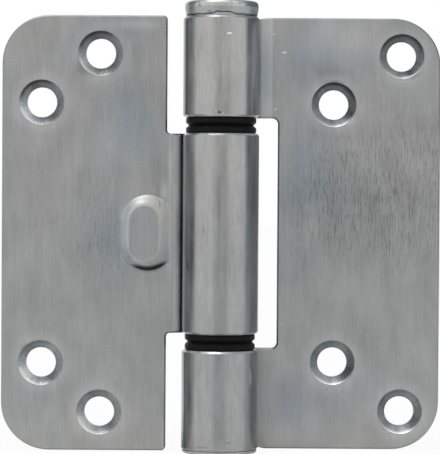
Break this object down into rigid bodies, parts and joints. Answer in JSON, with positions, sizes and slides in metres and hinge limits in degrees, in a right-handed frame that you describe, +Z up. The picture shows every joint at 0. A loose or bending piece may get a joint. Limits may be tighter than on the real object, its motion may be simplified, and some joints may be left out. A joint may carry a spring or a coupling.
{
  "type": "butt hinge",
  "caption": "Steel butt hinge with round-cornered leaves, a rolled barrel, a headed pin and flanged bushes; the door leaf carries a pressed boss.",
  "frame": {"origin": "on the barrel's axis, level with the leaves' lower edges", "axes": "+Z up the barrel's axis towards the pin's head, +X towards the frame leaf's outer edge, +Y away from the countersunk faces"},
  "size_m": [0.0895, 0.0154, 0.0916],
  "materials": {
    "plated_sheet": "zinc plated, satin, with the sheet's rolling lines",
    "plated_pin": "zinc plated over a turned surface",
    "black_polymer": "moulded, matt, slightly worn"
  },
  "bodies": {
    "frame_side": {"frame_leaf": "plated_sheet", "hinge_pin": "plated_pin", "lower_plug": "plated_pin", "upper_frame_bush": "black_polymer", "lower_frame_bush": "black_polymer"},
    "door_side": {"door_leaf": "plated_sheet", "upper_door_bush": "black_polymer", "lower_door_bush": "black_polymer"}
  },
  "joints": [
    {"name": "door_swing", "type": "hinge", "parent": "frame_side", "child": "door_side", "pos_m": [0, 0, 0], "axis": [0, 0, 1], "range_deg": [-115, 180]}
  ]
}
